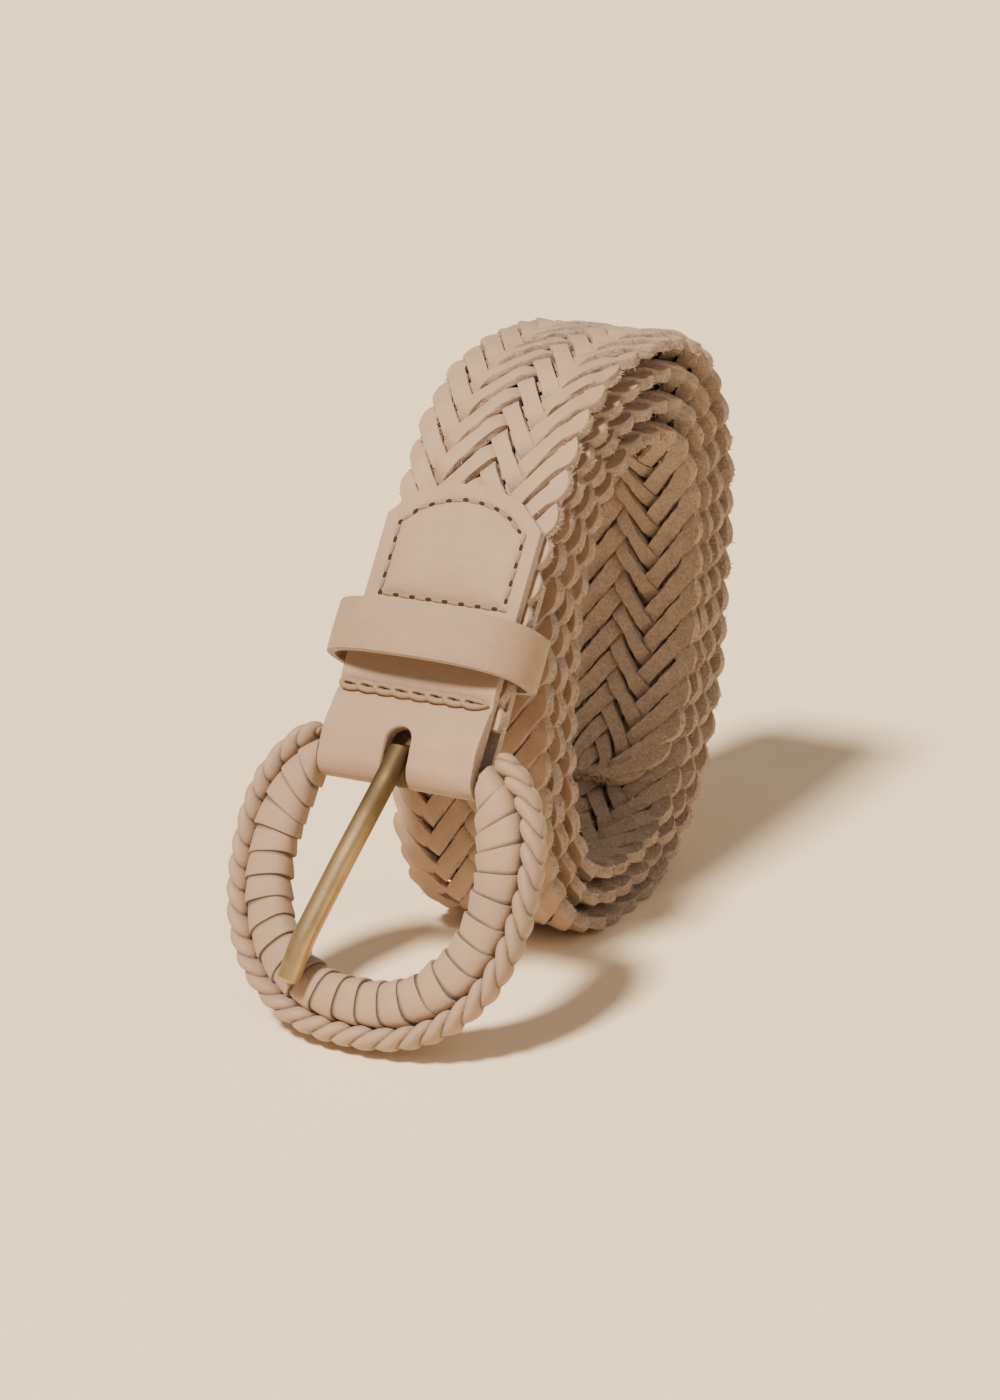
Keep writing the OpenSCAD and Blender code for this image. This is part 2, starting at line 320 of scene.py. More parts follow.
class Sock:
    """A shader socket that adds Math nodes when it is used in an expression."""

    def __init__(self, tree, socket):
        self.tree = tree
        self.socket = socket

    def math(self, operation, other, swap=False):
        node = self.tree.nodes.new("ShaderNodeMath")
        node.operation = operation
        pair = (other, self) if swap else (self, other)
        for slot, value in zip(node.inputs, pair):
            if isinstance(value, Sock):
                self.tree.links.new(value.socket, slot)
            else:
                slot.default_value = value
        return Sock(self.tree, node.outputs[0])

    def __add__(self, other):
        return self.math("ADD", other)

    def __radd__(self, other):
        return self.math("ADD", other, True)

    def __sub__(self, other):
        return self.math("SUBTRACT", other)

    def __rsub__(self, other):
        return self.math("SUBTRACT", other, True)

    def __mul__(self, other):
        return self.math("MULTIPLY", other)


class Finish:
    """A node material under construction."""

    def __init__(self, name):
        self.material = bpy.data.materials.new(name)
        self.material.use_nodes = True
        self.tree = self.material.node_tree
        self.shader = self.tree.nodes["Principled BSDF"]

    def node(self, kind, settings=None, inputs=None, output=0):
        """Adds a node, sets it, then fills its sockets."""
        node = self.tree.nodes.new(kind)
        for key, value in (settings or {}).items():
            setattr(node, key, value)
        for key, value in (inputs or {}).items():
            if isinstance(value, Sock):
                self.tree.links.new(value.socket, node.inputs[key])
            else:
                node.inputs[key].default_value = value
        return Sock(self.tree, node.outputs[output])

    def where(self):
        return self.node("ShaderNodeTexCoord", output=3)

    def noise(self, scale, detail=3.0, roughness=0.55):
        return self.node("ShaderNodeTexNoise", None, {
            "Vector": self.where(), "Scale": scale, "Detail": detail, "Roughness": roughness})

    def fit(self, value, low, high):
        """value from low to high, as 0 to 1."""
        return self.node("ShaderNodeMapRange", {"clamp": True, "interpolation_type": "SMOOTHSTEP"},
                         {"Value": value, "From Min": low, "From Max": high})

    def blend(self, factor, a, b):
        """Mixes two colours."""
        def colour(v):
            return v if isinstance(v, Sock) else (*v, 1.0)
        return self.node("ShaderNodeMix", {"data_type": "RGBA"},
                         {0: factor, 6: colour(a), 7: colour(b)}, 2)

    def shade(self, **inputs):
        for key, value in inputs.items():
            socket = self.shader.inputs[key.replace("_", " ")]
            if isinstance(value, Sock):
                self.tree.links.new(value.socket, socket)
            else:
                socket.default_value = value

    def bump(self, height, distance, strength):
        bumped = self.node("ShaderNodeBump", None, {
            "Strength": strength, "Distance": distance, "Height": height})
        self.shade(Normal=bumped)
        return self.material


def scaled(colour, k):
    return tuple(c * k for c in colour)


def leather_finish(name, grain, flesh, soft=1.0):
    """Matte full-grain leather, suede where raw is 1, with painted shade darkening the crevices where seam
    is 1.
    """
    m = Finish(name)
    raw = m.node("ShaderNodeAttribute", {"attribute_name": "raw"}, None, 2)
    seam = m.node("ShaderNodeAttribute", {"attribute_name": "seam"}, None, 2)
    cloud = m.noise(38.0, 4.0)
    mottle = m.noise(320.0, 4.0)
    pores = m.noise(2600.0, 3.0, 0.6)
    fibre = m.noise(1700.0, 6.0, 0.8)
    tuft = m.noise(620.0, 3.0, 0.6)
    creases = m.node("ShaderNodeTexVoronoi", {"feature": "DISTANCE_TO_EDGE"},
                     {"Vector": m.where(), "Scale": 1100.0})
    tone = m.blend(m.fit(cloud, 0.35, 0.68), scaled(grain, 0.92), scaled(grain, 1.05))
    tone = m.blend(m.fit(mottle, 0.30, 0.75) * 0.35, tone, scaled(grain, 0.82))
    tone = m.blend(m.fit(pores, 0.58, 0.80) * 0.35, tone, scaled(grain, 0.66))
    suede = m.blend(m.fit(fibre, 0.34, 0.66), scaled(flesh, 0.70), scaled(flesh, 1.20))
    suede = m.blend(m.fit(tuft, 0.45, 0.75) * 0.40, suede, scaled(flesh, 0.62))
    tone = m.blend(raw, tone, suede)
    # Painted shade: where seam is 1 the colour is pulled towards a near-black brown, standing in for the
    # shadow in the crevices.
    m.shade(Base_Color=m.blend(seam * 0.85, tone, scaled(flesh, 0.16)))
    m.shade(Roughness=raw * 0.26 + 0.56 + mottle * 0.12)
    m.shade(Specular_IOR_Level=0.30, Sheen_Weight=0.16, Sheen_Roughness=0.5)
    skin = m.fit(creases, 0.0, 0.25) * 0.30 + pores * 0.35 + mottle * 0.6
    height = skin * (1.0 - raw) + (fibre * 3.2 + tuft * 1.6) * raw
    return m.bump(height, 0.00018 * soft, 0.75)


def thread_finish(colour):
    """Waxed thread, with the needle holes painted dark as shade where the hole attribute is 1."""
    m = Finish("waxed_thread")
    hole = m.node("ShaderNodeAttribute", {"attribute_name": "hole"}, None, 2)
    ply = m.node("ShaderNodeTexWave", {"bands_direction": "DIAGONAL"},
                 {"Vector": m.where(), "Scale": 900.0, "Distortion": 1.2})
    tone = m.blend(ply, scaled(colour, 0.72), scaled(colour, 1.15))
    # Painted shade: the needle-hole pits take a near-black colour in place of the shadow inside the holes.
    m.shade(Base_Color=m.blend(hole, tone, (0.030, 0.018, 0.011)))
    m.shade(Roughness=0.60 + m.noise(700.0) * 0.2, Specular_IOR_Level=0.3)
    return m.bump(ply, 0.00012, 0.7)


def brass_finish(name, bright, dark, root):
    """Aged satin brass, with painted shade and painted dark reflection darkening it within reach of root
    along the belt's front.
    """
    m = Finish(name)
    here = m.where()
    away = m.node("ShaderNodeVectorMath", {"operation": "DISTANCE"},
                  {0: here, 1: tuple(root)}, 1)
    stain = m.noise(160.0, 5.0, 0.6)
    scratch = m.node("ShaderNodeTexNoise", None, {
        "Vector": m.node("ShaderNodeMapping", None, {"Vector": here, "Scale": (1.0, 1.0, 0.12)}),
        "Scale": 2600.0, "Detail": 3.0})
    # Painted shade and dark reflection: the brass goes dark near the bar, standing in for the slot's shadow
    # round the prong's root.
    root_shade_mask = 1.0 - m.fit(away, 0.007, 0.026)
    worn = m.fit(stain, 0.38, 0.70) * 0.7
    tone = m.blend(worn, bright, scaled(bright, 0.55))
    tone = m.blend(root_shade_mask * 0.85, tone, dark)
    m.shade(Base_Color=tone, Metallic=0.92)
    m.shade(Roughness=0.30 + stain * 0.16 + root_shade_mask * 0.18 + scratch * 0.05)
    return m.bump(scratch + stain * 0.8, 0.00004, 0.5)


def materials():
    """The belt's finishes, made once and then reused."""
    c = finish_colours()
    made = bpy.data.materials
    if "plait_leather" not in made:
        grain, flesh = tuple(c.grain), tuple(c.flesh)
        leather_finish("plait_leather", grain, flesh)
        leather_finish("fray_leather", grain, scaled(flesh, 1.3))
        leather_finish("tab_leather", scaled(grain, 0.92), flesh, 0.7)
        leather_finish("keeper_leather", scaled(grain, 0.84), flesh, 0.7)
        leather_finish("lace_leather", scaled(grain, 0.86), flesh, 0.8)
        thread_finish(tuple(c.thread))
        brass_finish("aged_brass", tuple(c.brass), tuple(c.root_shade), JOINTS["buckle_swing"]["pos_m"])
    return made


# ---------------------------------------------------------------- strap

# A lacing's section: share of its half width, share of its half thickness, and rawness
STRAND_SECTION = [
    (-0.93, 0.99, 0.0), (-0.5, 1.02, 0.0), (0.0, 1.03, 0.0), (0.5, 1.02, 0.0), (0.93, 0.99, 0.0),
    (0.985, 0.86, 0.35), (1.0, 0.30, 1.0), (1.0, -0.40, 1.0), (0.97, -0.95, 1.0), (0.0, -1.0, 1.0),
    (-0.97, -0.95, 1.0), (-1.0, -0.40, 1.0), (-1.0, 0.30, 1.0), (-0.985, 0.86, 0.35)]

# Distance between the knots of roughness on a cut edge, and its size sideways and upwards
RAG_PITCH = 0.0010
RAG_OUT = 0.00026
RAG_UP = 0.00020
# How far a float's middle swells out, and how far past the strap it may stand
FLOAT_SWELL = 0.00030
FLOAT_PROUD = 0.00036
# Fibres to each square metre of cut edge
FIBRES_PER_M2 = 0.9e6

# The four columns of floats across the strap: where each ends, how far its floats
# lean like shingles, and their share of the lacing's full width
COLUMN_ENDS = (-8 / 13, 0.0, 6 / 13)
COLUMN_LEAN = (0.12, 0.38, 0.05, 0.26)
COLUMN_WIDTH = (0.94, 1.02, 0.85, 0.98)


def column_of(q):
    return np.searchsorted(np.array(COLUMN_ENDS), q)


def float_height(q):
    """Height of a left-going lacing, 1 on the face and -1 on the back."""
    blend = 1 / 13
    height = np.ones_like(q)
    for i, end in enumerate(COLUMN_ENDS):
        turn = 2 * smooth_step(end - blend, end + blend, q)
        height = height - turn if i % 2 == 0 else height + turn
    return height


def strand_mesh(z, line, k):
    """One lacing of a flat plait, floating over and under and turning at the edges."""
    step = 0.00075
    s = np.arange(0, line.end, step)
    period = z.loop_pitch * z.strand_count
    phase = s / period + k / z.strand_count
    keen = 0.994
    q = np.arcsin(keen * np.sin(2 * np.pi * phase)) / math.asin(keen)
    rightward = np.cos(2 * np.pi * phase) > 0
    reach = z.strap_w / 2 - z.strand_w * 0.56
    tip_from = line.end - z.strap_w / 2
    round_end = np.sqrt(np.clip(1 - (np.clip(s - tip_from, 0, None) / (z.strap_w / 2)) ** 2, 0.07, 1))
    sway = wander(9000 + k, int(line.end / 0.009) + 3, s / 0.009)
    u = reach * q * round_end + 0.00035 * sway
    heading_sign = np.where(rightward, 1.0, -1.0)
    face = -heading_sign * float_height(q)
    edge = smooth_step(0.86, 1.0, np.abs(q))
    column = column_of(q)
    ends = np.array((-1.0,) + COLUMN_ENDS + (1.0,))
    inside = (q - ends[column]) / (ends[column + 1] - ends[column])
    swell = np.sin(np.pi * np.clip(inside, 0, 1)) ** 0.7
    rise = z.strand_t * 0.53
    h = face * (rise + FLOAT_SWELL * swell) * (1 - edge)
    way = np.stack([np.gradient(s), np.gradient(u), np.gradient(h)], -1)
    way /= np.linalg.norm(way, axis=1)[:, None]
    flat = np.hypot(way[:, 0], way[:, 1])
    side = np.stack([-way[:, 1] / flat, way[:, 0] / flat, np.zeros(len(s))], -1)
    up = np.cross(way, side)
    heading = np.unwrap(np.arctan2(way[:, 1], way[:, 0]))
    bend = np.gradient(heading) / np.hypot(np.gradient(s), np.gradient(u))
    lean = np.array(COLUMN_LEAN)[column] * swell * np.sign(face) * heading_sign
    lean *= 1 + 0.25 * wander(7000 + k, int(line.end / 0.006) + 3, s / 0.006)
    unevenness = wander(8000 + k, int(line.end / 0.012) + 3, s / 0.012)
    edge_lean = (np.where(q < 0, 0.32, -0.10) + 0.24 * unevenness) * edge
    tilt = (lean * (1 - edge) - edge_lean * np.sign(q))[:, None]
    side_up = side * np.cos(tilt) + up * np.sin(tilt)
    up_side = up * np.cos(tilt) - side * np.sin(tilt)
    share = np.array(COLUMN_WIDTH)[column] * np.where(face < 0, 0.92, 1.0) * swell + (1 - swell)
    half = z.strand_w / 2 * (0.45 + 0.55 * round_end) * share
    radius = 1 / np.maximum(np.abs(bend), 1e-6)
    inner_half, outer_half = np.minimum(half, 0.85 * radius), half * (1 + 0.18 * edge)
    knots = int(line.end / RAG_PITCH) + 2
    rings, rough = [], []
    ht = z.strand_t / 2
    for j, (a, b, r) in enumerate(STRAND_SECTION):
        width = np.where(a * bend > 0, inner_half, outer_half)
        ragged = wander(100 * k + j, knots, s / RAG_PITCH)
        jagged = wander(50000 + 100 * k + j, knots, s / RAG_PITCH)
        out = a * width + np.sign(a) * ragged * RAG_OUT * (1 + 0.6 * edge) * round_end * (r > 0.5)
        tall = b * ht * (1 + 0.38 * edge) + jagged * RAG_UP * round_end * (r > 0.5)
        p = np.stack([s, u, h], -1) + side_up * out[:, None] + up_side * tall[:, None]
        n = np.clip(p[:, 2], -z.strap_t / 2 - FLOAT_PROUD, z.strap_t / 2 + FLOAT_PROUD)
        across = np.clip(p[:, 1], -z.strap_w / 2 - 0.0003, z.strap_w / 2 + 0.0003)
        rings.append(line.place(np.clip(p[:, 0], 0, line.end), across, n))
        rough.append(np.full(len(s), r))
    verts, faces = loft(np.stack(rings, 1))
    sides = np.array([1.0 if r == 1.0 and a != 0 else 0.0 for a, _, r in STRAND_SECTION])
    frayed = (0.10 + 0.90 * smooth_step(0.72, 0.95, np.abs(q))) * (round_end > 0.6)
    fray = sides[None, :] * frayed[:, None]
    return verts, faces, np.stack(rough, 1).ravel(), fray.ravel()


class Scatter:
    """A Geometry Nodes tree that copies an object onto points, as painted plain geometry."""

    def __init__(self, name, **inputs):
        self.name = name
        self.tree = bpy.data.node_groups.new(name, "GeometryNodeTree")
        face = self.tree.interface
        face.new_socket("Geometry", in_out="INPUT", socket_type="NodeSocketGeometry")
        self.values = {}
        for label, (kind, value) in inputs.items():
            socket = face.new_socket(label, in_out="INPUT", socket_type="NodeSocket" + kind)
            self.values[socket.identifier] = value
        face.new_socket("Geometry", in_out="OUTPUT", socket_type="NodeSocketGeometry")
        self.entry = self.node("NodeGroupInput")

    def node(self, kind, settings=None, inputs=None):
        """Adds a node, sets it, fills or links its inputs and gives its outputs."""
        node = self.tree.nodes.new(kind)
        for key, value in (settings or {}).items():
            setattr(node, key, value)
        for key, value in (inputs or {}).items():
            if isinstance(value, bpy.types.NodeSocket):
                self.tree.links.new(value, node.inputs[key])
            else:
                node.inputs[key].default_value = value
        return node.outputs

    def run(self, obj, unit, points, rotation, scale):
        """Ends the tree, runs it on obj, and removes the unit that was copied."""
        info = self.node("GeometryNodeObjectInfo", None, {"Object": self.entry["Unit"]})
        copies = self.node("GeometryNodeInstanceOnPoints", None, {
            "Points": points, "Instance": info["Geometry"], "Rotation": rotation, "Scale": scale})
        real = self.node("GeometryNodeRealizeInstances", None, {"Geometry": copies["Instances"]})
        paint = self.node("GeometryNodeSetMaterial", None, {
            "Geometry": real["Geometry"], "Material": self.entry["Finish"]})
        self.node("NodeGroupOutput", None, {"Geometry": paint["Geometry"]})
        made = obj.modifiers.new(self.name, "NODES")
        made.node_group = self.tree
        for identifier, value in self.values.items():
            made[identifier] = value
        bake_modifiers(obj)
        bpy.data.objects.remove(unit)


def grow_fray(source, seed, material):
    """Short leather fibres over source, thickest where its fray attribute is 1."""
    fibre = fray_fibre()
    tree = Scatter("fray", Density=("Float", FIBRES_PER_M2), Seed=("Int", seed),
                   Unit=("Object", fibre), Finish=("Material", material))
    seed_in = tree.entry["Seed"]
    fray = tree.node("GeometryNodeInputNamedAttribute", {"data_type": "FLOAT"}, {"Name": "fray"})
    thick = tree.node("ShaderNodeMath", {"operation": "MULTIPLY"},
                      {0: fray["Attribute"], 1: tree.entry["Density"]})
    spots = tree.node("GeometryNodeDistributePointsOnFaces", {"distribute_method": "RANDOM"},
                      {"Mesh": tree.entry["Geometry"], "Density": thick[0], "Seed": seed_in})
    size = tree.node("FunctionNodeRandomValue", {"data_type": "FLOAT_VECTOR"},
                     {0: (0.7, 0.7, 0.4), 1: (1.2, 1.2, 1.5), "Seed": seed_in})
    bend = tree.node("FunctionNodeRandomValue", {"data_type": "FLOAT_VECTOR"},
                     {0: (-0.85, -0.85, -3.14), 1: (0.85, 0.85, 3.14), "Seed": seed_in})
    as_turn = tree.node("FunctionNodeEulerToRotation", None, {"Euler": bend[0]})
    turn = tree.node("FunctionNodeRotateRotation", {"rotation_space": "LOCAL"},
                     {"Rotation": spots["Rotation"], "Rotate By": as_turn["Rotation"]})
    tree.run(source, fibre, spots["Points"], turn["Rotation"], size[0])


def fray_fibre():
    """One short curved fibre, along +Z."""
    rings = []
    for z, x, r in ((-0.00008, 0.0, 0.000140), (0.00034, 0.00008, 0.000100), (0.00078, 0.00028, 0.000020)):
        rings.append([(x + r * math.cos(a), r * math.sin(a), z) for a in (0.0, 2.094, 4.189)])
    verts, faces = loft(np.array(rings))
    return new_piece("fibre", verts, faces, np.ones(len(verts)))


class BELT_OT_plait(bpy.types.Operator):
    """Make the lacings of the plaited strap"""
    bl_idname = "belt.plait"
    bl_label = "Plait"

    def execute(self, context):
        z = sizes()
        line = StrapLine(z)
        leather, frayed = materials()["plait_leather"], materials()["fray_leather"]
        for k in range(z.strand_count):
            verts, faces, rough, fray = strand_mesh(z, line, k)
            obj = new_piece(f"lacing_{k + 1}", verts, faces, rough, 32)
            finish_piece(obj, "belt", "leather", leather, *STRAP_NODES)
            fibres = new_piece(f"lacing_fray_{k + 1}", verts, faces, None, 32, fray=fray)
            grow_fray(fibres, 20 + k, frayed)
            finish_piece(fibres, "belt", "leather", frayed)
        return {"FINISHED"}


# ---------------------------------------------------------------- tab

def tab_half_width(z, height):
    """Half width of the front leg at a height above the bar."""
    rise = (z.tab_apex - z.tab_shoulder) / 3
    crown = z.tab_apex - rise
    if height <= z.tab_shoulder:
        return z.tab_w / 2
    if height <= crown:
        t = (height - z.tab_shoulder) / (crown - z.tab_shoulder)
        return z.tab_w / 2 + (z.tab_top_half - z.tab_w / 2) * t
    return z.tab_top_half * math.sqrt(max(0.0008, (z.tab_apex - height) / rise))


SHEET_COLUMNS = 84


def sheet_section(half, thick):
    """A closed section of leather sheet with eased edges: across, up, raw."""
    ease = min(0.0004, half * 0.3)
    xs = np.linspace(-(half - ease), half - ease, SHEET_COLUMNS)
    top = [(x, thick / 2, 0.0) for x in xs]
    right = [(half - ease * 0.25, thick / 2 - ease * 0.25, 0.25),
             (half, thick / 4, 1.0), (half, -thick / 2, 1.0)]
    bottom = [(x, -thick / 2, 1.0) for x in xs[::-1]]
    left = [(-x, up, raw) for x, up, raw in reversed(right)]
    return top + right + bottom + left


def stitch_outline(z):
    """The stitch line round the tab's panel, as (x, height), from its lower left."""
    half = z.tab_w / 2 - z.stitch_inset
    top = z.tab_apex - z.stitch_inset
    shoulder = z.tab_shoulder - z.stitch_inset / 2
    top_half = z.tab_top_half - z.stitch_inset / 2
    rise = (z.tab_apex - z.tab_shoulder) / 3
    crown = [(top_half * v, top - rise * v * v) for v in np.linspace(-1, 1, 9)]
    return [(-half, z.lower_row), (-half, shoulder)] + crown + [(half, shoulder), (half, z.lower_row)]


def tab_relief(z, x, height):
    """How far the front leg's face is pressed in or puffed out."""
    upper = stitch_outline(z)[1:-1]
    crown = np.interp(x, [p[0] for p in upper], [p[1] for p in upper])
    inside = min(z.tab_w / 2 - z.stitch_inset - abs(x), height - z.lower_row, crown - height)
    press = -0.00034 * math.exp(-(inside / 0.0007) ** 2)
    puff = 0.00070 * (1 - math.exp(-(max(inside, 0) / 0.0022) ** 1.5))
    chain = -0.00075 * math.exp(-((height - z.chain_row) / 0.0016) ** 2)
    roll = 0.00105 * math.exp(-((height - z.chain_row * 0.33) / 0.0046) ** 2)
    return press + puff + chain + roll


class BELT_OT_tab(bpy.types.Operator):
    """Make the leather tab that folds round the bar"""
    bl_idname = "belt.tab"
    bl_label = "Tab"

    def execute(self, context):
        z = sizes()
        mid = (z.strap_t + z.tab_t) / 2
        rise = (z.tab_apex - z.tab_shoulder) / 3
        crown = [z.tab_apex - rise * (i / 8) ** 2 for i in range(8)]
        front = np.concatenate([crown, np.arange(z.tab_apex - rise, 0.0, -0.00045)])
        stations = [(-mid, h, (0, -1.0, 0.0), h, 1.0) for h in front]
        for i in range(25):
            t = math.pi * i / 24
            c, s = math.cos(t), math.sin(t)
            stations.append((-mid * c, -mid * s, (0, -c, -s), 0.0, 1 - t / math.pi))
        stations += [(mid, h, (0, 1.0, 0.0), None, 0.0) for h in np.linspace(0.0006, z.tab_back, 50)]
        rings, rough = [], []
        for y, height, out, face, share in stations:
            half = tab_half_width(z, face) if face is not None else z.tab_w / 2
            section = sheet_section(half, z.tab_t)
            ring = []
            for x, v, r in section:
                lift = share * tab_relief(z, x, face) if share > 0 and v > 0 else 0
                ring.append((x, y + out[1] * (v + lift), height + out[2] * (v + lift)))
            rings.append(ring)
            rough.append([r for _, _, r in section])
        verts, faces = loft(np.array(rings))
        tab = new_piece("tab_leather_fold", at_bar(verts, tab_lean()), faces, np.ravel(rough), 40)
        cut_slot(z, tab)
        finish_piece(tab, "belt", "leather", materials()["tab_leather"], "tab")
        return {"FINISHED"}


def cut_slot(z, tab):
    """Cuts the prong's slot through both legs of the fold."""
    r = z.slot_w / 2
    outline = [(r * math.cos(t), z.slot_top - r + r * math.sin(t)) for t in np.linspace(0, math.pi, 24)]
    outline += [(-r, -0.012), (r, -0.012)]
    rings = [[(x, y, h) for x, h in outline] for y in (-0.012, 0.012)]
    verts, faces = loft(at_bar(np.array(rings), tab_lean()))
    cutter = new_piece("slot_cutter", verts, faces, np.ones(len(verts)))
    cut = tab.modifiers.new("slot", "BOOLEAN")
    cut.operation = "DIFFERENCE"
    cut.solver = "EXACT"
    cut.object = cutter
    bake_modifiers(tab)
    bpy.data.objects.remove(cutter)


def bake_modifiers(obj):
    """Turns the evaluated object into a plain mesh and removes its modifiers."""
    graph = bpy.context.evaluated_depsgraph_get()
    mesh = bpy.data.meshes.new_from_object(obj.evaluated_get(graph))
    obj.modifiers.clear()
    old = obj.data
    obj.data = mesh
    bpy.data.meshes.remove(old)
    mesh.name = obj.name


# ---------------------------------------------------------------- keeper

class BELT_OT_keeper(bpy.types.Operator):
    """Make the sliding keeper loop"""
    bl_idname = "belt.keeper"
    bl_label = "Keeper"

    def execute(self, context):
        z = sizes()
        fold = z.strap_t / 2 + z.tab_t
        w = max(z.strap_w, z.tab_w) / 2 + z.keeper_side + z.keeper_t / 2
        front = fold + z.keeper_gap + z.keeper_t / 2 + 0.0006
        back = fold + z.keeper_back + z.keeper_t / 2
        turn = np.linspace(0, 2 * np.pi, 160, endpoint=False)
        depth = np.where(np.sin(turn) < 0, front, back)
        square = np.where(np.sin(turn) < 0, 2 / 2.7, 2 / 5.0)
        x = w * signed_power(np.cos(turn), square)
        y = depth * signed_power(np.sin(turn), square)
        run = np.concatenate([[0], np.cumsum(np.hypot(np.diff(x), np.diff(y)))])
        even = np.linspace(0, run[-1], 150, endpoint=False)
        x, y = np.interp(even, run, x), np.interp(even, run, y)
        dx, dy = np.roll(x, -1) - np.roll(x, 1), np.roll(y, -1) - np.roll(y, 1)
        size = np.hypot(dx, dy)
        nx, ny = dy / size, -dx / size
        ht, hh = z.keeper_t / 2, z.keeper_h / 2
        ease = 0.00035
        rows = np.linspace(-hh + ease, hh - ease, 12)
        section = [(ht + 0.00012 * math.cos(math.pi * v / z.keeper_h), v, 0.0) for v in rows]
        section += [(ht - ease * 0.3, hh - ease * 0.3, 0.3), (ht * 0.4, hh, 0.9), (-ht, hh, 1.0)]
        section += [(-ht, v, 1.0) for v in rows[::-1]]
        section += [(-ht, -hh, 1.0), (ht * 0.4, -hh, 0.9), (ht - ease * 0.3, -hh + ease * 0.3, 0.3)]
        rings, rough = [], []
        for px, py, ox, oy in zip(x, y, nx, ny):
            rings.append([(px + ox * o, py + oy * o, z.keeper_low + hh + v) for o, v, _ in section])
            rough.append([r for _, _, r in section])
        verts, faces = loft(np.array(rings), closed=True)
        keeper = new_piece("keeper_loop", at_bar(verts, tab_lean()), faces, np.ravel(rough), 40)
        finish_piece(keeper, "keeper", "leather", materials()["keeper_leather"], "keeper")
        return {"FINISHED"}


# ---------------------------------------------------------------- stitches

def stitch_unit(name, half, radius, hole):
    """One stitch along Z: a thread that dives at both ends into a needle hole, drawn as a flat dark pit of
    painted shade.
    """
    rings, dark = [], []
    for i in range(9):
        t = -1 + 2 * i / 8
        r = radius * math.sqrt(max(0.03, 1 - abs(t) ** 5))
        x = -1.6 * radius * abs(t) ** 3
        skew = 0.00016 * t
        rings.append([(x + r * math.cos(a), skew + r * 1.1 * math.sin(a), half * t)
                      for a in np.linspace(0, 2 * math.pi, 8, endpoint=False)])
        dark += [0.0] * 8
    parts = [loft(np.array(rings))]
    # Flat pits of painted shade at both ends, standing in for the shadow in the needle holes.
    for end in (-1, 1):
        shade_pit = [[(0.00006 * math.cos(b), hole * 0.62 * math.cos(a) * math.sin(b),
                 end * half * 1.04 + hole * math.sin(a) * math.sin(b))
                for a in np.linspace(0, 2 * math.pi, 10, endpoint=False)] for b in np.linspace(0.15, 3.0, 5)]
        parts.append(loft(np.array(shade_pit)))
        dark += [1.0] * 50
    verts, faces = merge(parts)
    return new_piece(name, verts, faces, None, 80, hole=dark)


def chain_unit(name, long, width, radius):
    """One chain stitch: a teardrop loop along Z round a needle hole drawn as a flat dark pit of painted
    shade, raised at its head.
    """
    rings = []
    for i in range(20):
        a = 2 * math.pi * i / 20
        shape = 0.66 + 0.34 * math.cos(a)
        z = -long / 2 * math.cos(a)
        y = width / 2 * math.sin(a) * shape
        x = radius * (0.55 + 0.65 * math.cos(a))
        out = Vector((0, math.sin(a) * shape, -math.cos(a)))
        out.normalize()
        round_ = [(radius * math.sin(b), radius * math.cos(b))
                  for b in np.linspace(0, 2 * math.pi, 8, endpoint=False)]
        rings.append([(x + up, y + out.y * wide, z + out.z * wide) for up, wide in round_])
    dark = [0.0] * 160
    # A flat pit of painted shade, standing in for the shadow in the hole.
    shade_pit = [[(0.0002 * math.cos(b), 0.0007 * math.cos(a) * math.sin(b),
             0.0012 * math.sin(a) * math.sin(b))
            for a in np.linspace(0, 2 * math.pi, 10, endpoint=False)] for b in np.linspace(0.15, 3.0, 5)]
    verts, faces = merge([loft(np.array(rings), closed=True), loft(np.array(shade_pit))])
    return new_piece(name, verts, faces, None, 80, hole=dark + [1.0] * 50)


class BELT_OT_stitches(bpy.types.Operator):
    """Make the tab's stitching and the chain stitch row"""
    bl_idname = "belt.stitches"
    bl_label = "Stitches"

    def execute(self, context):
        z = sizes()
        face = -(z.strap_t / 2 + z.tab_t)
        outline = stitch_outline(z)
        outline.append(outline[0])
        thread = materials()["waxed_thread"]
        marks = stitch_marks(outline, z.stitch_pitch)
        unit = stitch_unit("stitch_unit", z.stitch_length / 2, z.thread_r, 0.00066)
        seam = scatter_units("tab_thread", marks, face + 0.00015, unit, thread)
        finish_piece(seam, "belt", "thread", thread, "tab_stitches")
        side = z.tab_w / 2 - z.stitch_inset / 2
        row = stitch_marks([(-side, z.chain_row), (side, z.chain_row)], z.stitch_pitch)
        unit = chain_unit("chain_unit", z.stitch_pitch * 1.26, 0.0021, z.thread_r * 1.7)
        chain = scatter_units("chain_thread", row, face + 0.0002, unit, thread)
        finish_piece(chain, "belt", "thread", thread, "chain_stitches")
        return {"FINISHED"}


def stitch_marks(outline, pitch):
    """Places and directions of stitches along straight runs, as (x, height, angle)."""
    marks = []
    points = np.array(outline)
    lengths = np.linalg.norm(np.diff(points, axis=0), axis=1)
    total = lengths.sum()
    count = round(total / pitch)
    reach = np.concatenate([[0], np.cumsum(lengths)])
    for i in range(count):
        s = (i + 0.5) * total / count
        j = min(np.searchsorted(reach, s, side="right") - 1, len(lengths) - 1)
        t = (s - reach[j]) / lengths[j]
        p = points[j] + (points[j + 1] - points[j]) * t
        d = points[j + 1] - points[j]
        marks.append((p[0], p[1], math.atan2(d[1], d[0])))
    return marks


